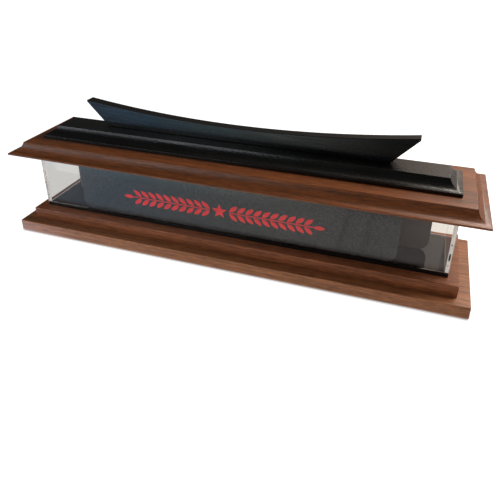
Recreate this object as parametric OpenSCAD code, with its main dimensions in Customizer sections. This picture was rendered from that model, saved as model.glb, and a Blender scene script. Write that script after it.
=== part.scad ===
// Long walnut and clear acrylic display plaque with a lift-off crown.
// Millimetres. X runs along the plaque, -Y is its front and +Z is up.
// The origin is the centre of the footprint, on the surface the feet rest on.

/* [Base boards] */
// Length of the lower base board
base_l = 762; // [620:1:1000]
// Depth of the lower base board
base_w = 193; // [155:1:260]
// Thickness of the lower base board
base_t = 19; // [15:0.5:25]
// Thickness of the upper base board
upper_t = 19; // [15:0.5:25]
// Ledge of the lower board all round the upper board
base_ledge = 19; // [10:0.5:30]
// Small chamfer on the long and short edges of the base boards
edge_ease = 0.8; // [0.4:0.1:2]

/* [Feet] */
// Diameter of each felt foot pad
foot_d = 24; // [15:1:32]
// Thickness of each felt foot pad
foot_t = 1.5; // [1:0.5:4]
// Distance from the board's edge to the rim of a pad
foot_inset = 8; // [4:1:20]

/* [Clear case] */
// Thickness of the clear acrylic walls
wall_t = 5.5; // [3:0.5:8]
// Height of the clear acrylic walls
case_h = 99; // [80:1:150]
// Thickness of the black floor plate under the walls
floor_t = 5.5; // [3:0.5:8]
// Ledge of the upper board beyond the ends of the case
case_ledge_x = 16; // [8:0.5:30]
// Ledge of the upper board in front of and behind the case
case_ledge_y = 18.75; // [10:0.25:30]

/* [Name plate] */
// Gap between the top of the name plate and the lid
plate_top_gap = 3.8; // [1:0.2:20]
// Thickness of the name plate
plate_t = 3; // [2:0.5:4]
// Corner radius of the name plate
plate_r = 16; // [4:1:25]
// Clear length of the case beyond each end of the name plate
plate_end_gap = 70.5; // [20:0.5:100]
// Thickness of the adhesive film between name plate and front wall
bond_film = 0.3; // [0.2:0.1:1]
// Gap between the floor plate and the name plate
plate_lift = 1.2; // [0.5:0.1:4]

/* [Laurel inlay] */
// Height of the inlaid laurel band
motif_h = 27; // [16:1:36]
// Length of the inlaid laurel band
motif_l = 347; // [250:1:360]
// Sideways offset of the band from the middle of the name plate
motif_shift = -13.5; // [-20:0.5:20]
// Height of the band's centre line above the floor plate
motif_z = 38; // [30:1:60]
// Leaf pairs on each side of the star
leaf_pairs = 10; // [6:1:10]
// Length of one leaf
leaf_l = 18; // [10:0.5:20]
// Width of one leaf
leaf_w = 7; // [4:0.5:8]
// Angle between a leaf and its stem
leaf_tilt = 40; // [25:1:50]
// Thickness of the stems
stem_t = 1.8; // [1:0.2:3]
// Depth of the inlay in the name plate
inlay_t = 1.2; // [0.6:0.2:1.6]
// Gap all round each inlaid piece
inlay_fit = 0.1; // [0.05:0.05:0.2]

/* [Centre panel] */
// Clear length of the case beyond each end of the centre panel
panel_end_gap = 26.5; // [15:0.5:60]
// Gap between the top of the centre panel and the lid
panel_top_gap = 4; // [1:0.5:40]
// Thickness of the centre panel
panel_t = 3; // [2:0.5:5]
// Corner radius of the centre panel
panel_r = 16; // [4:1:25]
// Distance of the centre panel behind the middle of the case
panel_back = 2.5; // [-5:0.5:8]
// Height of the two rails that hold the panel upright
rail_h = 8; // [5:0.5:12]
// Thickness of each rail
rail_t = 5; // [3:0.5:8]
// Distance from the end of the panel to the end of a rail
rail_end_gap = 64; // [20:1:100]
// Gap between a rail and the panel
rail_fit = 0.2; // [0.1:0.05:0.5]

/* [Lid] */
// Overhang of the lid beyond the ends of the case
lid_over_x = 38.5; // [25:0.5:50]
// Overhang of the lid in front of and behind the case
lid_over_y = 33; // [22:0.5:45]
// Thickness of the lid
lid_t = 19; // [16:0.5:23]
// Thickness of the lid's thin outer lip
lid_lip = 3; // [2:0.2:6]
// Radius of the cove cut into the lid and the plinth
cove_r = 20.5; // [19:0.5:24]
// Height of the cleats under the lid
cleat_h = 10; // [6:0.5:14]
// Width of the cleats under the lid
cleat_w = 12; // [10:0.5:18]
// Play between the cleats and the inside of the case
lid_play = 1.2; // [0.5:0.1:2]

/* [Plinth] */
// Lid surface left beyond the ends of the plinth
plinth_ledge_x = 19.5; // [8:0.5:30]
// Thickness of the plinth
plinth_t = 19; // [16:0.5:25]
// Thickness of the plinth's outer lip
plinth_lip = 5.2; // [3:0.2:7]

/* [Crest] */
// Plinth top left beyond the foot of the crest at each end
crest_ledge = 85.5; // [40:0.5:120]
// Lean of each end: how far its top stands beyond its foot
crest_lean = 38.5; // [10:0.5:50]
// Height of the crest at its ends
crest_h = 43; // [35:0.5:60]
// Dip of the curved top edge below its ends
crest_dip = 19.3; // [8:0.1:24]
// Thickness of the crest
crest_t = 19; // [14:0.5:24]
// Plinth top left in front of the crest
crest_front_ledge = 25.3; // [5:0.1:30]
// Plinth top left behind the crest
crest_rear_ledge = 3.3; // [1:0.1:30]
// Height of the blunt nose at each tip
crest_nose = 3; // [2:0.2:6]

/* [Fasteners] */
// Shank diameter of the wood screws
screw_d = 4.2; // [3:0.1:5]
// Head diameter of the wood screws
screw_head_d = 8.4; // [7:0.1:10]
// Radial gap between a screw and its hole
screw_fit = 0.1; // [0.05:0.05:0.3]
// Depth that a screw reaches into the piece it holds
screw_bite = 12; // [8:0.5:14]
// Distance from a piece's edge or end to the screws near it
screw_edge = 24; // [12:1:40]
// Shank diameter of the small cleat screws
cleat_screw_d = 3; // [2.5:0.1:3.5]
// Head diameter of the small cleat screws
cleat_screw_head_d = 6; // [5:0.1:7]

/* [Hidden] */
$fn = 64;

walnut = "saddlebrown";
lacquer = "darkslategray";
charcoal = "dimgray";
clear = "lightcyan";
red = "crimson";
steel = "silver";

// Levels, from the feet up
z_base = foot_t;
z_upper = z_base + base_t;
z_floor = z_upper + upper_t;
z_case = z_floor + floor_t;
z_lid = z_case + case_h;
z_plinth = z_lid + lid_t;
z_crest = z_plinth + plinth_t;

// Outlines
upper_l = base_l - 2 * base_ledge;
upper_w = base_w - 2 * base_ledge;
case_l = upper_l - 2 * case_ledge_x;
case_w = upper_w - 2 * case_ledge_y;
inner_l = case_l - 2 * wall_t;
inner_w = case_w - 2 * wall_t;
lid_l = case_l + 2 * lid_over_x;
lid_w = case_w + 2 * lid_over_y;
plinth_l = lid_l - 2 * cove_run(lid_t, lid_lip) - 2 * plinth_ledge_x;
plinth_top_w = crest_front_ledge + crest_t + crest_rear_ledge;
plinth_w = plinth_top_w + 2 * cove_run(plinth_t, plinth_lip);
crest_y = crest_front_ledge - plinth_top_w / 2;
crest_foot_l = plinth_l - 2 * cove_run(plinth_t, plinth_lip) - 2 * crest_ledge;
crest_top_l = crest_foot_l + 2 * crest_lean;

// Name plate, centre panel and rails
plate_l = inner_l - 2 * plate_end_gap;
plate_h = case_h - plate_lift - plate_top_gap;
plate_y = -inner_w / 2 + bond_film;
panel_l = inner_l - 2 * panel_end_gap;
panel_h = case_h - panel_top_gap;
panel_y = panel_back - panel_t / 2;
rail_l = panel_l - 2 * rail_end_gap;

// Cleats under the lid: the front one clears the name plate, the back one the wall
cleat_l = inner_l - 2 * lid_play;
cleat_front_y = plate_y + plate_t + lid_play;
cleat_back_y = inner_w / 2 - lid_play - cleat_w;

// Laurel band
star_r = motif_h / 2;
star_waist = 0.42;
star_gap = 3.5;
leaf_gap = 0.9;
stem_end = motif_l / 2 - leaf_l - leaf_gap;
leaf_pitch = (stem_end - star_r - star_gap) / leaf_pairs;

// Screws
screw_rows = 3;
plinth_screw_rows = 4;
screw_tip = 4;
slot_w = 1.2;
slot_depth = 0.35;
base_screw_l = base_t + screw_bite;
lid_screw_l = lid_t + screw_bite;
crest_screw_l = plinth_t + screw_bite;
cleat_screw_l = cleat_h + screw_bite;

// Width of a cove of radius cove_r between the lip and the top face
function cove_run(t, lip) = sqrt(2 * cove_r * (t - lip) - pow(t - lip, 2));

// Evenly spread places from -reach to reach
function spread(count, reach) = [for (i = [0 : count - 1]) -reach + 2 * reach * i / (count - 1)];

// Rectangle with chamfered corners, centred on X and standing on Y = 0
module eased_rect(w, h) {
    e = edge_ease;
    polygon([
        [-w / 2 + e, 0], [w / 2 - e, 0], [w / 2, e], [w / 2, h - e],
        [w / 2 - e, h], [-w / 2 + e, h], [-w / 2, h - e], [-w / 2, e]
    ]);
}

// Section of a board with a cove along both edges
module cove_section(w, t, lip) {
    difference() {
        translate([-w / 2, 0]) square([w, t]);
        for (side = [-1, 1])
            translate([side * w / 2, lip + cove_r]) circle(r = cove_r, $fn = 128);
    }
}

// Sweeps one 2D section along X and another along Y and keeps what both hold
module crossed(l, w) {
    intersection() {
        rotate([90, 0, 0]) linear_extrude(height = w, center = true) children(0);
        rotate([90, 0, 90]) linear_extrude(height = l, center = true) children(1);
    }
}

module eased_board(l, w, t) {
    crossed(l, w) {
        eased_rect(l, t);
        eased_rect(w, t);
    }
}

module cove_board(l, w, t, lip) {
    crossed(l, w) {
        cove_section(l, t, lip);
        cove_section(w, t, lip);
    }
}

// Upright sheet with round corners, front face at Y = 0, foot at Z = 0
module upright_sheet(l, h, t, r) {
    translate([0, t, 0]) rotate([90, 0, 0]) linear_extrude(height = t) {
        translate([-l / 2, r]) square([l, h - 2 * r]);
        translate([-l / 2 + r, 0]) square([l - 2 * r, h]);
        for (x = [-l / 2 + r, l / 2 - r], z = [r, h - r])
            translate([x, z]) circle(r = r);
    }
}

// Countersunk wood screw, its head face at the origin and its tip towards +Z
module wood_screw(d, head_d, l) {
    head_h = (head_d - d) / 2;
    difference() {
        union() {
            cylinder(d1 = head_d, d2 = d, h = head_h);
            cylinder(d = d, h = l - screw_tip);
            translate([0, 0, l - screw_tip]) cylinder(d1 = d, d2 = d / 4, h = screw_tip);
        }
        for (turn = [0, 90])
            rotate([0, 0, turn])
                translate([-head_d / 3, -slot_w / 2, -1])
                    cube([2 * head_d / 3, slot_w, 1 + slot_depth]);
    }
}

// Hole for that screw, open below the head face
module screw_hole(d, head_d, l) {
    head_h = (head_d - d) / 2;
    translate([0, 0, -1]) cylinder(d = head_d + 2 * screw_fit, h = 1);
    cylinder(d1 = head_d + 2 * screw_fit, d2 = d + 2 * screw_fit, h = head_h);
    cylinder(d = d + 2 * screw_fit, h = l + screw_fit);
}

// Places of each set of screws
module at_base_screws() {
    for (x = spread(screw_rows, upper_l / 2 - 2 * screw_edge), side = [-1, 1])
        translate([x, side * (upper_w / 2 - screw_edge), z_base]) children();
}

module at_plinth_screws() {
    for (x = spread(plinth_screw_rows, plinth_l / 2 - 2 * screw_edge))
        translate([x, 0, z_lid]) children();
}

module at_crest_screws() {
    for (x = spread(screw_rows, crest_foot_l / 2 - 2 * screw_edge))
        translate([x, crest_y + crest_t / 2, z_plinth]) children();
}

module at_cleat_screws() {
    for (x = spread(screw_rows, cleat_l / 2 - screw_edge), y = [cleat_front_y, cleat_back_y])
        translate([x, y + cleat_w / 2, z_lid - cleat_h]) children();
}

// Felt pads under the lower board
module foot_pads() {
    reach_x = base_l / 2 - foot_inset - foot_d / 2;
    reach_y = base_w / 2 - foot_inset - foot_d / 2;
    color(charcoal)
        for (x = [-reach_x, 0, reach_x], y = [-reach_y, reach_y])
            translate([x, y, 0]) cylinder(d = foot_d, h = foot_t);
}

module base_lower_board() {
    color(walnut) difference() {
        translate([0, 0, z_base]) eased_board(base_l, base_w, base_t);
        at_base_screws() screw_hole(screw_d, screw_head_d, base_screw_l);
    }
}

module base_upper_board() {
    color(walnut) difference() {
        translate([0, 0, z_upper]) eased_board(upper_l, upper_w, upper_t);
        at_base_screws() screw_hole(screw_d, screw_head_d, base_screw_l);
    }
}

module base_screws() {
    color(steel) at_base_screws() wood_screw(screw_d, screw_head_d, base_screw_l);
}

module floor_plate() {
    color("black")
        translate([-case_l / 2, -case_w / 2, z_floor]) cube([case_l, case_w, floor_t]);
}

// Long clear wall, its outer or inner face at y
module long_wall(y) {
    color(clear) translate([-case_l / 2, y, z_case]) cube([case_l, wall_t, case_h]);
}

module case_front_wall() {
    long_wall(-case_w / 2);
}

module case_back_wall() {
    long_wall(case_w / 2 - wall_t);
}

// Clear end, cemented between the two long walls
module end_wall(x) {
    color(clear) translate([x, -inner_w / 2, z_case]) cube([wall_t, inner_w, case_h]);
}

module case_left_end() {
    end_wall(-case_l / 2);
}

module case_right_end() {
    end_wall(case_l / 2 - wall_t);
}

// Places a flat shape in the front of the name plate, depth mm deep
module inlaid(depth) {
    translate([motif_shift, plate_y + depth, z_case + motif_z])
        rotate([90, 0, 0]) linear_extrude(height = depth) children();
}

// Five-pointed star with one point up, grown by gap
module star_shape(gap) {
    polygon([
        for (i = [0 : 9])
            let (r = (i % 2 == 0 ? star_r : star_waist * star_r) + 2 * gap, a = 90 + 36 * i)
                [r * cos(a), r * sin(a)]
    ]);
}

// Straight stem on each side of the star, grown by gap
module stem_shape(gap) {
    for (side = [0, 1])
        mirror([side, 0])
            translate([star_r + star_gap - gap, -stem_t / 2 - gap])
                square([stem_end - star_r - star_gap + 2 * gap, stem_t + 2 * gap]);
}

// Pointed leaf along +X from its foot at the origin, grown by gap
module leaf_shape(gap) {
    l = leaf_l + 2 * gap;
    w = leaf_w + 2 * gap;
    r = (l * l / 4 + w * w / 4) / w;
    translate([leaf_l / 2, 0]) intersection() {
        translate([0, r - w / 2]) circle(r = r);
        translate([0, w / 2 - r]) circle(r = r);
    }
}

// Leaf pairs along both stems and a single leaf at each end
module leaves_shape(gap) {
    for (side = [0, 1])
        mirror([side, 0]) {
            for (i = [0 : leaf_pairs - 1], up = [-1, 1])
                translate([star_r + star_gap + i * leaf_pitch, up * (stem_t / 2 + leaf_gap)])
                    rotate([0, 0, up * leaf_tilt]) leaf_shape(gap);
            translate([stem_end + leaf_gap, 0]) leaf_shape(gap);
        }
}

module name_plate() {
    color(charcoal) difference() {
        translate([0, plate_y, z_case + plate_lift])
            upright_sheet(plate_l, plate_h, plate_t, plate_r);
        // The pockets start a little in front of the plate's face
        translate([0, -inlay_t, 0]) inlaid(2 * inlay_t) {
            star_shape(inlay_fit);
            stem_shape(inlay_fit);
            leaves_shape(inlay_fit);
        }
    }
}

module inlay_star() {
    color(red) inlaid(inlay_t) star_shape(0);
}

module inlay_stems() {
    color(red) inlaid(inlay_t) stem_shape(0);
}

module inlay_leaves() {
    color(red) inlaid(inlay_t) leaves_shape(0);
}

module centre_panel() {
    color(charcoal)
        translate([0, panel_y, z_case]) upright_sheet(panel_l, panel_h, panel_t, panel_r);
}

module panel_rail(y) {
    color(clear) translate([-rail_l / 2, y, z_case]) cube([rail_l, rail_t, rail_h]);
}

module panel_rail_front() {
    panel_rail(panel_y - rail_fit - rail_t);
}

module panel_rail_back() {
    panel_rail(panel_y + panel_t + rail_fit);
}

module lid_board() {
    color(walnut) difference() {
        translate([0, 0, z_lid]) cove_board(lid_l, lid_w, lid_t, lid_lip);
        at_plinth_screws() screw_hole(screw_d, screw_head_d, lid_screw_l);
        at_cleat_screws() screw_hole(cleat_screw_d, cleat_screw_head_d, cleat_screw_l);
    }
}

module lid_cleat(y) {
    color(walnut) difference() {
        translate([-cleat_l / 2, y, z_lid - cleat_h]) cube([cleat_l, cleat_w, cleat_h]);
        at_cleat_screws() screw_hole(cleat_screw_d, cleat_screw_head_d, cleat_screw_l);
    }
}

module lid_cleat_front() {
    lid_cleat(cleat_front_y);
}

module lid_cleat_back() {
    lid_cleat(cleat_back_y);
}

module cleat_screws() {
    color(steel)
        at_cleat_screws() wood_screw(cleat_screw_d, cleat_screw_head_d, cleat_screw_l);
}

module plinth_board() {
    color(lacquer) difference() {
        translate([0, 0, z_plinth]) cove_board(plinth_l, plinth_w, plinth_t, plinth_lip);
        at_plinth_screws() screw_hole(screw_d, screw_head_d, lid_screw_l);
        at_crest_screws() screw_hole(screw_d, screw_head_d, crest_screw_l);
    }
}

module plinth_screws() {
    color(steel) at_plinth_screws() wood_screw(screw_d, screw_head_d, lid_screw_l);
}

// Outline of the crest: leaning ends, blunt tips and a hollow top edge on one arc
module crest_shape() {
    foot = crest_foot_l / 2;
    tip = crest_top_l / 2;
    arc_r = (tip * tip + crest_dip * crest_dip) / (2 * crest_dip);
    difference() {
        polygon([
            [-foot, 0], [foot, 0], [tip, crest_h - crest_nose], [tip, crest_h],
            [-tip, crest_h], [-tip, crest_h - crest_nose]
        ]);
        translate([0, crest_h - crest_dip + arc_r]) circle(r = arc_r, $fn = 720);
    }
}

module crest_board() {
    color(lacquer) difference() {
        translate([0, crest_y + crest_t, z_crest])
            rotate([90, 0, 0]) linear_extrude(height = crest_t) crest_shape();
        at_crest_screws() screw_hole(screw_d, screw_head_d, crest_screw_l);
    }
}

module crest_screws() {
    color(steel) at_crest_screws() wood_screw(screw_d, screw_head_d, crest_screw_l);
}

foot_pads();
base_lower_board();
base_upper_board();
base_screws();
floor_plate();
case_front_wall();
case_back_wall();
case_left_end();
case_right_end();
name_plate();
inlay_star();
inlay_stems();
inlay_leaves();
centre_panel();
panel_rail_front();
panel_rail_back();
lid_board();
lid_cleat_front();
lid_cleat_back();
cleat_screws();
plinth_board();
plinth_screws();
crest_board();
crest_screws();
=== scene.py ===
import math
import random

import bmesh
import bpy
from mathutils import Matrix, Vector


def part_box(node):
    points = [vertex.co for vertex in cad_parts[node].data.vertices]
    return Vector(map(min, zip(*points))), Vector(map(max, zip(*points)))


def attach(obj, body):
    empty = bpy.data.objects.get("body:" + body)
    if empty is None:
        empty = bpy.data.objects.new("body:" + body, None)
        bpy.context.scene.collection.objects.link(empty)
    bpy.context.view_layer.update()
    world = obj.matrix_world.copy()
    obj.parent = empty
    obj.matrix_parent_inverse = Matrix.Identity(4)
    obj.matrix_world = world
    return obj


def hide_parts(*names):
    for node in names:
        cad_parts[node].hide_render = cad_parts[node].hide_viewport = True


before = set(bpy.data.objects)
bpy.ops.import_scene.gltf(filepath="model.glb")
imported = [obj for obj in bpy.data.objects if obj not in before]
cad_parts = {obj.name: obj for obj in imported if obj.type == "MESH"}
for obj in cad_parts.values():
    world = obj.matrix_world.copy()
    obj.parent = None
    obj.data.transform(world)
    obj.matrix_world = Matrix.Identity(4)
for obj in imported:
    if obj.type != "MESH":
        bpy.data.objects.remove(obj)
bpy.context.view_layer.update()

MM = 0.001

# Cove mouldings, as the lid and the plinth are made
COVE_R = 20.5 * MM
LID_LIP = 3.0 * MM
PLINTH_LIP = 5.2 * MM
COVE_STEPS = 14

# Crest outline, and how finely its foot and its leaning ends are cut along X
CREST_LEAN = 38.5 * MM
CREST_DIP = 19.3 * MM
CREST_NOSE = 3.0 * MM
CREST_STEPS = 96
LEAN_STEPS = 8

# Felt pads
PAD_RADIUS = 12 * MM
PAD_STEPS = 48

# Softened edges
WOOD_EASE = 0.9 * MM
LID_EASE = 0.5 * MM
PLINTH_EASE = 0.6 * MM
LACQUER_EASE = 0.8 * MM
POLISHED_EASE = 0.35 * MM
RAIL_EASE = 1.2 * MM

# Depth of the dabs that the brush left in the lacquer
PLINTH_DABS = 0.4 * MM
CREST_DABS = 0.12 * MM

# Air left between clear pieces and what they only touch
AIR_FILM = 0.12 * MM

# Black bond under the long walls, sunk a little into their feet
BOND = 0.15 * MM
BOND_EASE = 0.015 * MM
BOND_INSET = 0.05 * MM

# Cement in the corner joints
JOINT_FILM = 0.12 * MM
JOINT_EASE = 0.024 * MM
JOINT_INSET = 0.4 * MM

# Air pockets in the left joint: how many, and where they start and how they follow up the wall
LEFT_POCKETS = 11
FIRST_POCKET = 0.08
POCKET_PITCH = 0.052

# Camera, solved from the corners of the boards; angles in degrees
CAMERA_AZIMUTH = 18.256
CAMERA_ELEVATION = 27.223
CAMERA_ROLL = 0.562
CAMERA_PLACE = (0.2717, -0.7615, 0.4986)
CAMERA_LENS = 38.48
CAMERA_SHIFT_Y = -0.1036

# Floor in reflections: the far floor, which the crest mirrors, turns into the near floor, which
# the case mirrors, and a close strip lies along the front of the base
FAR_FLOOR_X = (-0.95, 0.5)
FAR_FADE_Y = (-0.95, -0.7)
NEAR_FLOOR_X = (-0.5, 0.4)
FAR_TO_NEAR_Y = (-0.40, -0.26)
STRIP_FRONT_Y = (-0.132, -0.126)
STRIP_BACK_Y = (-0.09, -0.08)
STRIP_LEFT_X = (-0.46, -0.42)
DIM_FLOOR = (0.15, 0.16, 0.165)

# Edges sharper than this, in degrees, are shaded as edges
SHARP_ANGLE = 31
PAD_SHARP_ANGLE = 50

SEED = 7


# ---------------------------------------------------------------- meshes

def finish_mesh(name, bm, ease, segments=3):
    """Rounds the weighted edges of bm and returns it as an object with clean shading."""
    mesh = bpy.data.meshes.new(name)
    bmesh.ops.recalc_face_normals(bm, faces=bm.faces)
    bm.to_mesh(mesh)
    bm.free()
    obj = bpy.data.objects.new(name, mesh)
    bpy.context.scene.collection.objects.link(obj)
    for face in mesh.polygons:
        face.use_smooth = True
    mesh.set_sharp_from_angle(angle=math.radians(SHARP_ANGLE))
    bevel = obj.modifiers.new("ease", "BEVEL")
    bevel.width = ease
    bevel.segments = segments
    bevel.limit_method = "WEIGHT"
    bevel.harden_normals = True
    weighted = obj.modifiers.new("normals", "WEIGHTED_NORMAL")
    weighted.keep_sharp = True
    apply_modifiers(obj)
    return obj


def apply_modifiers(obj):
    """Keeps what the modifiers make of obj as its own mesh."""
    depsgraph = bpy.context.evaluated_depsgraph_get()
    evaluated = obj.evaluated_get(depsgraph)
    mesh = bpy.data.meshes.new_from_object(evaluated)
    obj.modifiers.clear()
    obj.data = mesh


def moulded_board(name, lo, hi, profile, ease):
    """Board whose four sides follow profile, a list of (inset, height, arris) from the foot up."""
    bm = bmesh.new()
    weight = bm.edges.layers.float.new("bevel_weight_edge")
    loops = []
    for inset, height, _ in profile:
        z = lo.z + height
        corners = (
            (lo.x + inset, lo.y + inset, z), (hi.x - inset, lo.y + inset, z),
            (hi.x - inset, hi.y - inset, z), (lo.x + inset, hi.y - inset, z),
        )
        loops.append([bm.verts.new(c) for c in corners])
    for below, above in zip(loops, loops[1:]):
        for i in range(4):
            j = (i + 1) % 4
            bm.faces.new((below[i], below[j], above[j], above[i]))
    bm.faces.new(loops[0])
    bm.faces.new(loops[-1])
    for loop, (_, _, arris) in zip(loops, profile):
        if arris:
            for i in range(4):
                edge = bm.edges.get((loop[i], loop[(i + 1) % 4]))
                edge[weight] = 1.0
    for i in range(4):
        edge = bm.edges.get((loops[0][i], loops[1][i]))
        edge[weight] = 1.0
    return finish_mesh(name, bm, ease)


def plain_profile(height):
    """Square sides, foot to top."""
    return [(0.0, 0.0, True), (0.0, height, True)]


def cove_profile(height, lip):
    """Thin lip, then a quarter-round hollow that rises to the top face."""
    end = math.acos((lip + COVE_R - height) / COVE_R)
    profile = [(0.0, 0.0, True), (0.0, lip, True)]
    for step in range(1, COVE_STEPS + 1):
        angle = end * step / COVE_STEPS
        inset = COVE_R * math.sin(angle)
        z = lip + COVE_R * (1 - math.cos(angle))
        profile.append((inset, z, step == COVE_STEPS))
    return profile


def eased_box(name, lo, hi, ease):
    """Plain board or film with softened edges."""
    return moulded_board(name, Vector(lo), Vector(hi), plain_profile(hi[2] - lo[2]), ease)


def crest_mesh(name, lo, hi):
    """Upright board with leaning ends, blunt tips and a hollow top edge."""
    tip = hi.x
    foot = tip - CREST_LEAN
    height = hi.z - lo.z
    arc_r = (tip ** 2 + CREST_DIP ** 2) / (2 * CREST_DIP)
    nose_low = height - CREST_NOSE

    def top(x):
        return height - CREST_DIP + arc_r - math.sqrt(arc_r ** 2 - x ** 2)

    def bottom(x):
        return max(0.0, (abs(x) - foot) / CREST_LEAN * nose_low)

    inner = [-foot + 2 * foot * i / CREST_STEPS for i in range(CREST_STEPS + 1)]
    outer = [foot + CREST_LEAN * i / LEAN_STEPS for i in range(1, LEAN_STEPS + 1)]
    columns = [-x for x in reversed(outer)] + inner + outer
    bm = bmesh.new()
    weight = bm.edges.layers.float.new("bevel_weight_edge")
    rows = []
    for x in columns:
        zb = lo.z + bottom(x)
        zt = lo.z + top(x)
        rows.append([bm.verts.new(p) for p in (
            (x, lo.y, zb), (x, lo.y, zt), (x, hi.y, zt), (x, hi.y, zb))])
    for a, b in zip(rows, rows[1:]):
        for i in range(4):
            j = (i + 1) % 4
            bm.faces.new((a[i], a[j], b[j], b[i]))
            edge = bm.edges.get((a[i], b[i]))
            edge[weight] = 1.0
    for end in (rows[0], rows[-1]):
        bm.faces.new(end)
        for i in range(4):
            bm.edges.get((end[i], end[(i + 1) % 4]))[weight] = 1.0
    return finish_mesh(name, bm, LACQUER_EASE)


def ring_wall(name, outer_lo, outer_hi, inner_lo, inner_hi, ease):
    """Four walls in one piece, open at the top and the foot."""
    bm = bmesh.new()
    weight = bm.edges.layers.float.new("bevel_weight_edge")

    def loop(lo, hi, z):
        return [bm.verts.new(p) for p in (
            (lo.x, lo.y, z), (hi.x, lo.y, z), (hi.x, hi.y, z), (lo.x, hi.y, z))]

    foot = outer_lo.z
    top = outer_hi.z
    out_a = loop(outer_lo, outer_hi, foot)
    out_b = loop(outer_lo, outer_hi, top)
    in_a = loop(inner_lo, inner_hi, foot)
    in_b = loop(inner_lo, inner_hi, top)
    for i in range(4):
        j = (i + 1) % 4
        bm.faces.new((out_a[i], out_a[j], out_b[j], out_b[i]))
        bm.faces.new((in_a[j], in_a[i], in_b[i], in_b[j]))
        bm.faces.new((out_b[i], out_b[j], in_b[j], in_b[i]))
        bm.faces.new((out_a[j], out_a[i], in_a[i], in_a[j]))
        for ring in (out_a, out_b, in_a, in_b):
            bm.edges.get((ring[i], ring[j]))[weight] = 1.0
        bm.edges.get((out_a[i], out_b[i]))[weight] = 1.0
    return finish_mesh(name, bm, ease, segments=2)


def bubble_mesh(name, bubbles):
    """Rounded pockets, all in one piece: (centre, half sizes) each."""
    bm = bmesh.new()
    for centre, half in bubbles:
        place = Matrix.Translation(centre) @ Matrix.Diagonal((*half, 1))
        bmesh.ops.create_icosphere(bm, subdivisions=3, radius=1, matrix=place)
    bmesh.ops.recalc_face_normals(bm, faces=bm.faces)
    mesh = bpy.data.meshes.new(name)
    bm.to_mesh(mesh)
    bm.free()
    for face in mesh.polygons:
        face.use_smooth = True
    obj = bpy.data.objects.new(name, mesh)
    bpy.context.scene.collection.objects.link(obj)
    return obj


def pad_discs(name, centres, radius, z0, z1):
    """Felt discs with a soft lower rim, all in one piece."""
    rim = (z1 - z0) * 0.45
    profile = ((radius - rim, z0), (radius - rim * 0.3, z0 + rim * 0.3), (radius, z0 + rim),
               (radius, z1))
    bm = bmesh.new()
    for cx, cy in centres:
        loops = []
        for r, z in profile:
            loops.append([
                bm.verts.new((cx + r * math.cos(2 * math.pi * i / PAD_STEPS),
                              cy + r * math.sin(2 * math.pi * i / PAD_STEPS), z))
                for i in range(PAD_STEPS)])
        for below, above in zip(loops, loops[1:]):
            for i in range(PAD_STEPS):
                j = (i + 1) % PAD_STEPS
                bm.faces.new((below[i], below[j], above[j], above[i]))
        bm.faces.new(loops[0])
        bm.faces.new(loops[-1])
    bmesh.ops.recalc_face_normals(bm, faces=bm.faces)
    mesh = bpy.data.meshes.new(name)
    bm.to_mesh(mesh)
    bm.free()
    for face in mesh.polygons:
        face.use_smooth = True
    mesh.set_sharp_from_angle(angle=math.radians(PAD_SHARP_ANGLE))
    obj = bpy.data.objects.new(name, mesh)
    bpy.context.scene.collection.objects.link(obj)
    return obj


# ---------------------------------------------------------------- materials

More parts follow.
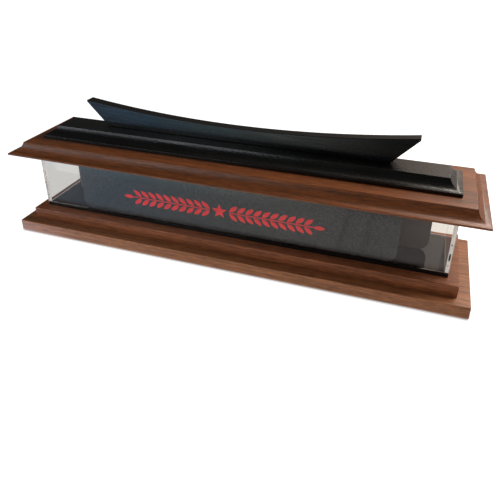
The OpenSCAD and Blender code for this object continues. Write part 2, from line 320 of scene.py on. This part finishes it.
class Nodes:
    """Small helper that builds the node tree of a material or a world."""

    def __init__(self, owner, output="ShaderNodeOutputMaterial"):
        owner.use_nodes = True
        self.owner = owner
        self.tree = owner.node_tree
        self.tree.nodes.clear()
        self.output = self.tree.nodes.new(output)

    def add(self, kind):
        return self.tree.nodes.new(kind)

    def link(self, source, target):
        self.tree.links.new(source, target)

    def coords(self, scale, offset=(0, 0, 0), turn=(0, 0, 0)):
        """Object coordinates in metres, scaled, then turned, then moved by offset."""
        place = self.add("ShaderNodeTexCoord").outputs["Object"]
        mapping = self.add("ShaderNodeMapping")
        mapping.inputs["Location"].default_value = offset
        mapping.inputs["Rotation"].default_value = turn
        mapping.inputs["Scale"].default_value = scale
        self.link(place, mapping.inputs["Vector"])
        return mapping.outputs["Vector"]

    def noise(self, vector, detail=3.0, roughness=0.5, distortion=0.0):
        node = self.add("ShaderNodeTexNoise")
        node.inputs["Scale"].default_value = 1.0
        node.inputs["Detail"].default_value = detail
        node.inputs["Roughness"].default_value = roughness
        node.inputs["Distortion"].default_value = distortion
        self.link(vector, node.inputs["Vector"])
        return node.outputs["Fac"]

    def math(self, operation, a, b):
        node = self.add("ShaderNodeMath")
        node.operation = operation
        for socket, value in zip(node.inputs, (a, b)):
            if isinstance(value, (int, float)):
                socket.default_value = value
            else:
                self.link(value, socket)
        return node.outputs[0]

    def span(self, value, low, high, to_low=0.0, to_high=1.0):
        """value from low..high, mapped to to_low..to_high and held there."""
        node = self.add("ShaderNodeMapRange")
        for socket, number in zip(list(node.inputs)[1:5], (low, high, to_low, to_high)):
            socket.default_value = number
        self.link(value, node.inputs["Value"])
        return node.outputs["Result"]

    def ramp(self, value, stops):
        node = self.add("ShaderNodeValToRGB")
        elements = node.color_ramp.elements
        while len(elements) < len(stops):
            elements.new(0.5)
        for element, (place, colour) in zip(elements, stops):
            element.position = place
            element.color = (*colour, 1)
        self.link(value, node.inputs["Fac"])
        return node.outputs["Color"]

    def mix(self, factor, a, b):
        node = self.add("ShaderNodeMix")
        node.data_type = "RGBA"
        for socket, value in ((node.inputs[0], factor), (node.inputs[6], a), (node.inputs[7], b)):
            if isinstance(value, (int, float)):
                socket.default_value = value
            elif isinstance(value, tuple):
                socket.default_value = (*value, 1)
            else:
                self.link(value, socket)
        return node.outputs[2]

    def bump(self, height, strength, distance, normal=None):
        node = self.add("ShaderNodeBump")
        node.inputs["Strength"].default_value = strength
        node.inputs["Distance"].default_value = distance
        self.link(height, node.inputs["Height"])
        if normal is not None:
            self.link(normal, node.inputs["Normal"])
        return node.outputs["Normal"]

    def principled(self, **values):
        node = self.add("ShaderNodeBsdfPrincipled")
        for key, value in values.items():
            node.inputs[key.replace("_", " ")].default_value = value
        return node

    def surface(self, shader):
        self.link(shader, self.output.inputs["Surface"])
        return self.owner


def walnut(name, offset, tone, turn=(0, 0, 0)):
    """Walnut with its grain along X; tone is the middle one of its shades."""
    n = Nodes(bpy.data.materials.new(name))
    rings = n.add("ShaderNodeTexWave")
    rings.wave_type = "RINGS"
    rings.rings_direction = "X"
    for key, value in (("Scale", 38), ("Distortion", 4.5), ("Detail", 3),
                       ("Detail Scale", 0.8), ("Detail Roughness", 0.6)):
        rings.inputs[key].default_value = value
    n.link(n.coords((0.1, 1, 1), offset, turn), rings.inputs["Vector"])
    layers = (
        (n.noise(n.coords((1.2, 26, 26), offset, turn), 3, 0.55, 0.4), 0.65),
        (n.noise(n.coords((9, 230, 230), offset, turn), 3, 0.6), 0.50),
        (n.noise(n.coords((45, 560, 560), offset, turn), 3, 0.7), 1.25),
    )
    figure = 0.5 - sum(weight for _, weight in layers) / 2
    for layer, weight in layers:
        figure = n.math("ADD", n.math("MULTIPLY", layer, weight), figure)
    late_wood = n.span(rings.outputs["Fac"], 0.70, 0.98)
    figure = n.math("SUBTRACT", figure, n.math("MULTIPLY", late_wood, 0.13))
    fibres = n.noise(n.coords((34, 900, 900), offset, turn), 3, 0.7)
    pores = n.span(n.noise(n.coords((75, 850, 850), offset, turn), 2, 0.6), 0.56, 0.68)
    shades = (0.0, 0.28), (0.28, 0.62), (0.50, 1.0), (0.72, 1.38), (1.0, 1.9)
    colour = n.ramp(figure, [
        (place, tuple(min(1.0, c * shade) for c in tone)) for place, shade in shades])
    colour = n.mix(n.math("MULTIPLY", pores, 0.55), colour, tuple(c * 0.25 for c in tone))
    shader = n.principled(Specular_IOR_Level=0.5)
    n.link(colour, shader.inputs["Base Color"])
    n.link(n.span(fibres, 0.32, 0.68, 0.54, 0.28), shader.inputs["Roughness"])
    normal = n.bump(pores, 0.4, -0.0002)
    normal = n.bump(fibres, 0.5, 0.0002, normal)
    normal = n.bump(n.noise(n.coords((16, 240, 240), offset)), 0.2, 0.0004, normal)
    n.link(normal, shader.inputs["Normal"])
    return n.surface(shader.outputs[0])


def black_lacquer(name, offset, dab_depth):
    """Hand-brushed black lacquer: brush lines, uneven film, dust and small dabs."""
    n = Nodes(bpy.data.materials.new(name))
    brush = n.noise(n.coords((14, 420, 420), offset), 3, 0.6)
    dabs = n.noise(n.coords((190, 420, 420), offset), 2, 0.6)
    film = n.noise(n.coords((12, 12, 12), offset), 3)
    dust = n.noise(n.coords((800, 800, 800), offset), 1)
    specks = n.math("MULTIPLY", n.span(dust, 0.68, 0.73), n.span(film, 0.40, 0.60))
    base = n.mix(brush, (0.0012, 0.0013, 0.0014), (0.0042, 0.0042, 0.0042))
    colour = n.mix(n.math("MULTIPLY", specks, 0.5), base, (0.10, 0.11, 0.12))
    shader = n.principled()
    n.link(colour, shader.inputs["Base Color"])
    rough = n.math("ADD", n.span(brush, 0.3, 0.7, 0.20, 0.32), n.span(film, 0.3, 0.7, -0.03, 0.05))
    n.link(rough, shader.inputs["Roughness"])
    normal = n.bump(brush, 0.30, 0.00025)
    normal = n.bump(dabs, 0.80, dab_depth, normal)
    n.link(normal, shader.inputs["Normal"])
    return n.surface(shader.outputs[0])


def black_acrylic(name):
    """Polished black sheet with a breath of dust and hairline scratches."""
    n = Nodes(bpy.data.materials.new(name))
    haze = n.noise(n.coords((22, 22, 22)), 4)
    dust = n.noise(n.coords((1100, 1100, 1100)), 1)
    scratch = n.noise(n.coords((30, 1400, 1400), turn=(0, 0, 0.5)), 2)
    specks = n.span(dust, 0.75, 0.79)
    colour = n.mix(n.math("MULTIPLY", specks, 0.35), (0.008, 0.008, 0.0085), (0.2, 0.2, 0.2))
    shader = n.principled(Specular_IOR_Level=0.42)
    shader.inputs["IOR"].default_value = 1.49
    n.link(colour, shader.inputs["Base Color"])
    rough = n.math("ADD", n.span(haze, 0.35, 0.7, 0.035, 0.09),
                   n.math("MULTIPLY", n.span(scratch, 0.66, 0.75), 0.12))
    n.link(rough, shader.inputs["Roughness"])
    n.link(n.bump(scratch, 0.04, 0.00002), shader.inputs["Normal"])
    return n.surface(shader.outputs[0])


def charcoal_sheet(name, offset, base, fleck):
    """Satin charcoal sheet with a fine, fairly even fleck."""
    n = Nodes(bpy.data.materials.new(name))
    cells = n.add("ShaderNodeTexVoronoi")
    cells.inputs["Scale"].default_value = 330
    cells.inputs["Randomness"].default_value = 0.6
    n.link(n.coords((1, 1, 1), offset), cells.inputs["Vector"])
    dots = n.span(cells.outputs["Distance"], 0.12, 0.50, 1.0, 0.0)
    grain = n.noise(n.coords((900, 900, 900), offset), 2, 0.6)
    cloud = n.noise(n.coords((12, 12, 12), offset), 3)
    mottle = n.math("MULTIPLY", dots, n.span(grain, 0.35, 0.65, 0.35, 1.0))
    colour = n.mix(mottle, base, fleck)
    colour = n.mix(n.span(cloud, 0.3, 0.7, 0.0, 0.25), colour, tuple(c * 0.7 for c in base))
    shader = n.principled(Specular_IOR_Level=0.5)
    n.link(colour, shader.inputs["Base Color"])
    n.link(n.span(mottle, 0.0, 0.8, 0.46, 0.38), shader.inputs["Roughness"])
    n.link(n.bump(mottle, 0.03, 0.00005), shader.inputs["Normal"])
    return n.surface(shader.outputs[0])


def red_inlay(name):
    """Satin red inlay with a slightly uneven pigment."""
    n = Nodes(bpy.data.materials.new(name))
    cloud = n.noise(n.coords((160, 160, 160)), 3)
    grain = n.noise(n.coords((2200, 2200, 2200)), 2)
    colour = n.mix(n.span(cloud, 0.3, 0.7), (0.74, 0.009, 0.014), (0.89, 0.015, 0.021))
    shader = n.principled(Specular_IOR_Level=0.5)
    n.link(colour, shader.inputs["Base Color"])
    n.link(n.span(grain, 0.3, 0.7, 0.30, 0.42), shader.inputs["Roughness"])
    n.link(n.bump(grain, 0.08, 0.00006), shader.inputs["Normal"])
    return n.surface(shader.outputs[0])


def clear_acrylic(name):
    """Clear polished acrylic that lets lamp light through to what it encloses."""
    n = Nodes(bpy.data.materials.new(name))
    wipe = n.noise(n.coords((40, 40, 40)), 4, 0.6)
    shader = n.principled(Transmission_Weight=1.0, IOR=1.49, Base_Color=(0.97, 0.975, 0.97, 1))
    n.link(n.span(wipe, 0.4, 0.75, 0.0, 0.035), shader.inputs["Roughness"])
    clear = n.add("ShaderNodeBsdfTransparent")
    clear.inputs["Color"].default_value = (0.93, 0.94, 0.93, 1)
    path = n.add("ShaderNodeLightPath")
    join = n.add("ShaderNodeMixShader")
    n.link(path.outputs["Is Shadow Ray"], join.inputs[0])
    n.link(shader.outputs[0], join.inputs[1])
    n.link(clear.outputs[0], join.inputs[2])
    return n.surface(join.outputs[0])


def cement(name):
    """Cured cement in a corner joint: cloudy white, partly clear, with a faint flow; its white
    partly, and its emission wholly, are painted light, a glow that stands for light caught along
    the joint.
    """
    n = Nodes(bpy.data.materials.new(name))
    flow = n.noise(n.coords((260, 260, 120)), 3)
    painted_glow_cement = n.principled(Roughness=0.45)
    n.link(n.mix(flow, (0.62, 0.58, 0.54), (0.80, 0.76, 0.72)), painted_glow_cement.inputs["Base Color"])
    # Painted glow: this emission stands in for light caught along the joint; it is not the cement's
    # own
    painted_glow_cement.inputs["Emission Color"].default_value = (1.0, 0.94, 0.88, 1)
    painted_glow_cement.inputs["Emission Strength"].default_value = 0.18
    clear = n.add("ShaderNodeBsdfTransparent")
    join = n.add("ShaderNodeMixShader")
    n.link(n.span(flow, 0.35, 0.65, 0.20, 0.50), join.inputs[0])
    n.link(painted_glow_cement.outputs[0], join.inputs[1])
    n.link(clear.outputs[0], join.inputs[2])
    return n.surface(join.outputs[0])


def air_pocket_painted_reflection(name):
    """Dark gloss on the air pockets: a painted reflection of the black sheet, which real pockets
    mirror.
    """
    n = Nodes(bpy.data.materials.new(name))
    flow = n.noise(n.coords((700, 700, 700)), 2)
    shader = n.principled(Specular_IOR_Level=0.6)
    # Painted reflection: the dark base colour stands for the black sheet mirrored in each pocket
    n.link(n.mix(flow, (0.010, 0.012, 0.014), (0.05, 0.05, 0.05)), shader.inputs["Base Color"])
    n.link(n.span(flow, 0.3, 0.7, 0.15, 0.30), shader.inputs["Roughness"])
    return n.surface(shader.outputs[0])


def black_bond(name):
    """Dead black film, as a wetted joint over black sheet looks from inside the wall."""
    n = Nodes(bpy.data.materials.new(name))
    flow = n.noise(n.coords((60, 60, 60)), 3)
    shader = n.principled(Roughness=0.6, Specular_IOR_Level=0.0)
    n.link(n.mix(flow, (0.002, 0.002, 0.002), (0.006, 0.006, 0.006)), shader.inputs["Base Color"])
    return n.surface(shader.outputs[0])


def felt(name):
    """Dense dark felt with short fibres."""
    n = Nodes(bpy.data.materials.new(name))
    fuzz = n.noise(n.coords((1600, 1600, 1600)), 4, 0.7)
    patch = n.noise(n.coords((120, 120, 120)), 2)
    colour = n.mix(fuzz, (0.012, 0.012, 0.012), (0.06, 0.058, 0.055))
    colour = n.mix(n.span(patch, 0.3, 0.7, 0, 0.4), colour, (0.02, 0.02, 0.02))
    shader = n.principled(Roughness=0.95, Sheen_Weight=0.4, Sheen_Roughness=0.6)
    n.link(colour, shader.inputs["Base Color"])
    n.link(n.bump(fuzz, 0.6, 0.0004), shader.inputs["Normal"])
    return n.surface(shader.outputs[0])


def zinc_steel(name):
    """Zinc-plated steel with fine turning marks."""
    n = Nodes(bpy.data.materials.new(name))
    marks = n.noise(n.coords((300, 300, 2500)), 3)
    colour = n.mix(marks, (0.42, 0.42, 0.40), (0.62, 0.61, 0.58))
    shader = n.principled(Metallic=1.0)
    n.link(colour, shader.inputs["Base Color"])
    n.link(n.span(marks, 0.3, 0.7, 0.28, 0.45), shader.inputs["Roughness"])
    n.link(n.bump(marks, 0.2, 0.0001), shader.inputs["Normal"])
    return n.surface(shader.outputs[0])


def paint(obj, material):
    """Gives obj one material."""
    obj.data.materials.clear()
    obj.data.materials.append(material)


def stand_for(obj, material, slot, body, *nodes):
    """A finished piece that takes the place of CAD nodes."""
    paint(obj, material)
    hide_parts(*nodes)
    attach(obj, body)


# ---------------------------------------------------------------- camera, lights, floor

def make_camera():
    """Camera a little to the right of the middle, looking down on the front."""
    azimuth = math.radians(CAMERA_AZIMUTH)
    elevation = math.radians(CAMERA_ELEVATION)
    roll = math.radians(CAMERA_ROLL)
    back = Vector((
        math.sin(azimuth) * math.cos(elevation),
        -math.cos(azimuth) * math.cos(elevation),
        math.sin(elevation)))
    right = (-back).cross(Vector((0, 0, 1))).normalized()
    up = back.cross(right)
    tilted_right = math.cos(roll) * right + math.sin(roll) * up
    tilted_up = -math.sin(roll) * right + math.cos(roll) * up
    data = bpy.data.cameras.new("camera")
    data.sensor_fit = "HORIZONTAL"
    data.sensor_width = 36
    data.lens = CAMERA_LENS
    data.shift_y = CAMERA_SHIFT_Y
    data.clip_start = 0.01
    data.clip_end = 100
    camera = bpy.data.objects.new("camera", data)
    bpy.context.scene.collection.objects.link(camera)
    turn = Matrix((tilted_right, tilted_up, back)).transposed()
    camera.matrix_world = Matrix.Translation(CAMERA_PLACE) @ turn.to_4x4()
    bpy.context.scene.camera = camera


def area_light(name, place, target, size, power, colour):
    """Soft rectangular lamp at place that faces target."""
    data = bpy.data.lights.new(name, "AREA")
    data.shape = "RECTANGLE"
    data.size, data.size_y = size
    data.energy = power
    data.color = colour
    light = bpy.data.objects.new(name, data)
    light.location = place
    aim = Vector(target) - Vector(place)
    light.rotation_euler = aim.to_track_quat("-Z", "Y").to_euler()
    light.visible_camera = False
    bpy.context.scene.collection.objects.link(light)


def make_lights():
    """Warm key from behind on the right, and two cool fills from the front left."""
    area_light("key", (0.66, 0.36, 0.76), (0.30, 0, 0.1), (0.5, 0.35), 7.4, (1.0, 0.92, 0.84))
    area_light("window", (-0.98, -0.62, 0.52), (-0.35, 0, 0.1), (0.5, 0.24), 1.6, (0.88, 0.93, 1.0))
    area_light("sky", (-0.42, -0.78, 0.55), (-0.08, 0, 0.1), (0.4, 0.3), 1.1, (0.88, 0.94, 1.0))


def through_acrylic(n, path, where=None):
    """1 where clear acrylic shows what lies behind it, 0 where a reflection is seen."""
    reflected = n.math("GREATER_THAN", path.outputs["Glossy Depth"], 0.5)
    if where is not None:
        reflected = n.math("MULTIPLY", reflected, where)
    return n.math("MULTIPLY", path.outputs["Is Transmission Ray"],
                  n.math("SUBTRACT", 1.0, reflected))


def seen_by(n, path, clear, camera, through, mirror, bounce):
    """Picks a colour by what sees it: the camera, clear acrylic, gloss or matt surfaces."""
    colour = n.mix(path.outputs["Is Glossy Ray"], bounce, mirror)
    colour = n.mix(path.outputs["Is Transmission Ray"], colour, mirror)
    colour = n.mix(clear, colour, through)
    return n.mix(path.outputs["Is Camera Ray"], colour, camera)


def make_world():
    """White backdrop in a dim room with a warm bright wall behind on the right."""
    world = bpy.data.worlds.new("world")
    bpy.context.scene.world = world
    n = Nodes(world, "ShaderNodeOutputWorld")
    path = n.add("ShaderNodeLightPath")
    direction = n.add("ShaderNodeSeparateXYZ")
    n.link(n.add("ShaderNodeTexCoord").outputs["Generated"], direction.inputs[0])
    wall = n.ramp(n.span(direction.outputs["X"], -0.6, 0.4), [
        (0.0, (0.05, 0.05, 0.05)), (0.35, (0.10, 0.09, 0.08)), (0.54, (0.26, 0.22, 0.19)),
        (0.66, (0.98, 0.82, 0.70)), (0.82, (1.35, 1.14, 0.98)), (1.0, (0.35, 0.30, 0.26))])
    behind = n.span(direction.outputs["Y"], 0.0, 0.5)
    mirror = n.mix(behind, (0.06, 0.06, 0.055), wall)
    room = n.add("ShaderNodeBackground")
    n.link(seen_by(n, path, through_acrylic(n, path), (1.0, 1.0, 1.0), (0.80, 0.77, 0.74),
                   mirror, (0.12, 0.115, 0.11)), room.inputs["Color"])
    n.surface(room.outputs[0])


def far_floor(n, place):
    """Cool on the left, then bright, then dark, and dim far in front."""
    colour = n.ramp(n.span(place.outputs["X"], *FAR_FLOOR_X), [
        (0.0, DIM_FLOOR), (0.15, DIM_FLOOR), (0.21, (0.98, 1.62, 2.55)),
        (0.34, (0.52, 1.02, 1.55)), (0.43, (0.80, 1.32, 1.52)), (0.60, (1.30, 1.45, 1.36)),
        (0.72, (0.50, 0.53, 0.50)), (0.80, (0.08, 0.08, 0.08)), (1.0, (0.04, 0.04, 0.04))])
    return n.mix(n.span(place.outputs["Y"], *FAR_FADE_Y), DIM_FLOOR, colour)


def near_floor(n, place):
    """Cool on the left to warm on the right, with two thin darker lines."""
    return n.ramp(n.span(place.outputs["X"], *NEAR_FLOOR_X), [
        (0.0, (0.62, 0.62, 0.67)), (0.2, (0.28, 0.37, 0.47)), (0.5, (0.38, 0.39, 0.38)),
        (0.738, (0.50, 0.47, 0.45)), (0.742, (0.34, 0.31, 0.29)), (0.748, (0.36, 0.33, 0.31)),
        (0.752, (0.45, 0.42, 0.40)), (0.786, (0.51, 0.47, 0.45)), (0.790, (0.35, 0.32, 0.30)),
        (0.797, (0.38, 0.35, 0.33)), (0.802, (0.48, 0.44, 0.42)), (1.0, (0.54, 0.48, 0.46))])


def close_floor(n, place):
    """Bright and cool at the left, for the sheen on the fronts of the base boards."""
    return n.ramp(n.span(place.outputs["X"], *NEAR_FLOOR_X), [
        (0.0, (3.30, 4.10, 5.60)), (0.25, (1.00, 1.10, 1.25)), (0.5, (0.50, 0.46, 0.44)),
        (1.0, (0.46, 0.40, 0.38))])


def mirrored_floor(n, place):
    """Floor as glossy surfaces and clear acrylic mirror it."""
    mirror = n.mix(n.span(place.outputs["Y"], *FAR_TO_NEAR_Y), far_floor(n, place),
                   near_floor(n, place))
    strip = n.math("MULTIPLY", n.span(place.outputs["Y"], *STRIP_FRONT_Y),
                   n.span(place.outputs["Y"], *STRIP_BACK_Y, 1.0, 0.0))
    strip = n.math("MULTIPLY", strip, n.span(place.outputs["X"], *STRIP_LEFT_X))
    return n.mix(strip, mirror, close_floor(n, place))


def floor_white(name):
    """Glow that depends on what sees the floor; only to the camera do lamps light it too."""
    n = Nodes(bpy.data.materials.new(name))
    path = n.add("ShaderNodeLightPath")
    place = n.add("ShaderNodeSeparateXYZ")
    n.link(n.coords((1, 1, 1)), place.inputs[0])
    mirror = mirrored_floor(n, place)
    through = n.ramp(n.span(place.outputs["X"], *NEAR_FLOOR_X), [
        (0.0, (0.68, 0.66, 0.64)), (1.0, (1.0, 0.91, 0.82))])
    in_front = n.math("LESS_THAN", place.outputs["Y"], 0.0)
    contact = n.add("ShaderNodeAmbientOcclusion")
    contact.inputs["Distance"].default_value = 0.005
    glow = n.add("ShaderNodeEmission")
    shadow = n.math("POWER", contact.outputs["AO"], 1.5)
    shade = n.mix(shadow, (0.01, 0.012, 0.014), (1.0, 1.0, 1.0))
    n.link(seen_by(n, path, through_acrylic(n, path, in_front), shade,
                   through, mirror, (0.90, 0.82, 0.76)), glow.inputs["Color"])
    diffuse = n.add("ShaderNodeBsdfDiffuse")
    diffuse.inputs["Color"].default_value = (0.5, 0.5, 0.5, 1)
    lit = n.add("ShaderNodeMixShader")
    n.link(path.outputs["Is Camera Ray"], lit.inputs[0])
    n.link(diffuse.outputs[0], lit.inputs[2])
    both = n.add("ShaderNodeAddShader")
    n.link(lit.outputs[0], both.inputs[0])
    n.link(glow.outputs[0], both.inputs[1])
    return n.surface(both.outputs[0])


def make_floor():
    """Wide pale floor under the feet."""
    bm = bmesh.new()
    bmesh.ops.create_grid(bm, x_segments=4, y_segments=4, size=15)
    mesh = bpy.data.meshes.new("floor")
    bm.to_mesh(mesh)
    bm.free()
    floor = bpy.data.objects.new("floor", mesh)
    bpy.context.scene.collection.objects.link(floor)
    paint(floor, floor_white("floor_white"))


def make_light_paths():
    """Enough bounces for light that zigzags along the inside of a clear wall."""
    cycles = bpy.context.scene.cycles
    cycles.max_bounces = 32
    cycles.glossy_bounces = 20
    cycles.transmission_bounces = 20


# ---------------------------------------------------------------- the plaque

def make_base():
    """The two walnut boards of the base."""
    lower_lo, lower_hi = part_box("base_lower_board")
    lower = moulded_board("lower_board", lower_lo, lower_hi,
                          plain_profile(lower_hi.z - lower_lo.z), WOOD_EASE)
    wood = walnut("walnut_lower", (0.3, 0.11, 0.07), (0.330, 0.128, 0.048), (0, 0.01, 0.02))
    stand_for(lower, wood, "walnut", "case", "base_lower_board")
    upper_lo, upper_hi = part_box("base_upper_board")
    upper = moulded_board("upper_board", upper_lo, upper_hi,
                          plain_profile(upper_hi.z - upper_lo.z), WOOD_EASE)
    wood = walnut("walnut_upper", (1.7, 0.16, 0.22), (0.305, 0.096, 0.032), (0, -0.015, 0.01))
    stand_for(upper, wood, "walnut", "case", "base_upper_board")


def make_pads():
    """Felt pads near the corners and at the middle of both long sides."""
    lo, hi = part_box("foot_pads")
    reach_x = hi.x - PAD_RADIUS
    reach_y = hi.y - PAD_RADIUS
    centres = [(x, y) for x in (-reach_x, 0, reach_x) for y in (-reach_y, reach_y)]
    pads = pad_discs("felt_pads", centres, PAD_RADIUS, lo.z, hi.z)
    stand_for(pads, felt("felt"), "felt", "case", "foot_pads")


def make_floor_sheet():
    """Black sheet that the case stands on."""
    lo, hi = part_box("floor_plate")
    plate = eased_box("floor_sheet", lo, hi, POLISHED_EASE)
    stand_for(plate, black_acrylic("black_acrylic"), "black_acrylic", "case", "floor_plate")


def make_shell(clear):
    """The four clear walls, with the cement and the air pockets of their joints."""
    front_lo, front_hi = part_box("case_front_wall")
    back_lo, back_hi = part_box("case_back_wall")
    left_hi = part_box("case_left_end")[1]
    right_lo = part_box("case_right_end")[0]
    outer_lo = front_lo + Vector((0, 0, AIR_FILM))
    outer_hi = back_hi - Vector((0, 0, AIR_FILM))
    inner_lo = Vector((left_hi.x, front_hi.y, outer_lo.z))
    inner_hi = Vector((right_lo.x, back_lo.y, outer_hi.z))
    shell = ring_wall("clear_case", outer_lo, outer_hi, inner_lo, inner_hi, POLISHED_EASE)
    stand_for(shell, clear, "clear_acrylic", "case",
              "case_front_wall", "case_back_wall", "case_left_end", "case_right_end")
    make_joints(outer_lo, outer_hi, inner_lo, inner_hi)
    make_pockets(front_lo, front_hi, inner_hi)


def make_bond(side, material):
    """Black film under one long wall."""
    lo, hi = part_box("case_" + side + "_wall")
    low = lo + Vector((BOND_INSET, BOND_INSET, 0))
    high = Vector((hi.x - BOND_INSET, hi.y - BOND_INSET, lo.z + BOND))
    film = eased_box("bond_" + side, low, high, BOND_EASE)
    paint(film, material)
    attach(film, "case")


def make_rail(side, clear):
    """Clear strip that holds the centre panel on one side."""
    lo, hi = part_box("panel_rail_" + side)
    rail = eased_box("rail_" + side, lo + Vector((0, 0, AIR_FILM)), hi, RAIL_EASE)
    stand_for(rail, clear, "clear_acrylic", "case", "panel_rail_" + side)


def make_case():
    """Everything between the base and the lid, but for the plate and the panel inside."""
    make_floor_sheet()
    clear = clear_acrylic("clear_acrylic")
    make_shell(clear)
    bond = black_bond("black_bond")
    for side in ("front", "back"):
        make_bond(side, bond)
        make_rail(side, clear)


def make_joints(outer_lo, outer_hi, inner_lo, inner_hi):
    """A thin film of cement between each long wall and the end walls."""
    painted_glow_cement = cement("cement")
    ends = (("left", outer_lo.x, inner_lo.x), ("right", inner_hi.x, outer_hi.x))
    sides = (("front", inner_lo.y), ("back", inner_hi.y))
    margin = Vector((JOINT_INSET, 0, JOINT_INSET))
    half = Vector((0, JOINT_FILM / 2, 0))
    for end, x0, x1 in ends:
        for side, y in sides:
            film = eased_box("joint_" + side + "_" + end,
                             Vector((x0, y, outer_lo.z)) + margin - half,
                             Vector((x1, y, outer_hi.z)) - margin + half, JOINT_EASE)
            paint(film, painted_glow_cement)
            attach(film, "case")


def make_pockets(front_lo, front_hi, inner_hi):
    """Air pockets in the two front cement joints: a row at the left, three at the right."""
    joint_y = front_hi.y - JOINT_FILM
    height = front_hi.z - front_lo.z
    pockets = []
    for step in range(LEFT_POCKETS):
        x = front_lo.x + random.uniform(1.2, 2.2) * MM
        share = FIRST_POCKET + POCKET_PITCH * step
        z = front_lo.z + height * share + random.uniform(-0.8, 0.8) * MM
        half = (random.uniform(0.6, 1.0) * MM, 0.5 * MM, random.uniform(0.8, 1.5) * MM)
        pockets.append(((x, joint_y, z), half))
    middle = (inner_hi.x + front_hi.x) / 2
    for share, half_x, half_z in ((0.12, 0.7, 1.0), (0.27, 1.5, 7.0), (0.48, 0.9, 1.5)):
        half = (half_x * MM, 0.8 * MM, half_z * MM)
        pockets.append(((middle, joint_y, front_lo.z + height * share), half))
    pieces = bubble_mesh("joint_pockets", pockets)
    paint(pieces, air_pocket_painted_reflection("air_pocket_painted_reflection"))
    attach(pieces, "case")


def make_lid():
    """Walnut lid with a cove on all four sides."""
    lo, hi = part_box("lid_board")
    lid = moulded_board("lid", lo, hi, cove_profile(hi.z - lo.z, LID_LIP), LID_EASE)
    wood = walnut("walnut_lid", (4.1, 0.07, 0.31), (0.202, 0.059, 0.0145), (0, 0.01, 0.02))
    stand_for(lid, wood, "walnut", "crown", "lid_board")


def make_plinth():
    """Black lacquered plinth with a cove on all four sides."""
    lo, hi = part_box("plinth_board")
    plinth = moulded_board("plinth", lo, hi, cove_profile(hi.z - lo.z, PLINTH_LIP), PLINTH_EASE)
    lacquer = black_lacquer("lacquer_plinth", (0, 0, 0), PLINTH_DABS)
    stand_for(plinth, lacquer, "black_lacquer", "crown", "plinth_board")


def make_crest():
    """Black lacquered crest."""
    lo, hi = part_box("crest_board")
    crest = crest_mesh("crest", lo, hi)
    lacquer = black_lacquer("lacquer_crest", (2, 1, 3), CREST_DABS)
    stand_for(crest, lacquer, "black_lacquer", "crown", "crest_board")


def make_details():
    """Materials of the CAD pieces that are kept as they are."""
    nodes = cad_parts
    hidden_wood = walnut("walnut_cleats", (6, 0.2, 0.1), (0.19, 0.075, 0.034))
    for node in ("lid_cleat_front", "lid_cleat_back"):
        paint(nodes[node], hidden_wood)
    paint(nodes["name_plate"], charcoal_sheet(
        "charcoal_plate", (0, 0, 0), (0.014, 0.014, 0.0148), (0.094, 0.094, 0.100)))
    paint(nodes["centre_panel"], charcoal_sheet(
        "charcoal_panel", (3, 1, 2), (0.085, 0.066, 0.058), (0.160, 0.128, 0.113)))
    red = red_inlay("red_inlay")
    for node in ("inlay_star", "inlay_stems", "inlay_leaves"):
        paint(nodes[node], red)
    steel = zinc_steel("zinc_steel")
    for node in ("base_screws", "cleat_screws", "plinth_screws", "crest_screws"):
        paint(nodes[node], steel)


def main():
    random.seed(SEED)
    bpy.context.scene.view_settings.view_transform = "Standard"
    make_light_paths()
    make_camera()
    make_world()
    make_lights()
    make_floor()
    make_base()
    make_pads()
    make_case()
    make_lid()
    make_plinth()
    make_crest()
    make_details()


main()
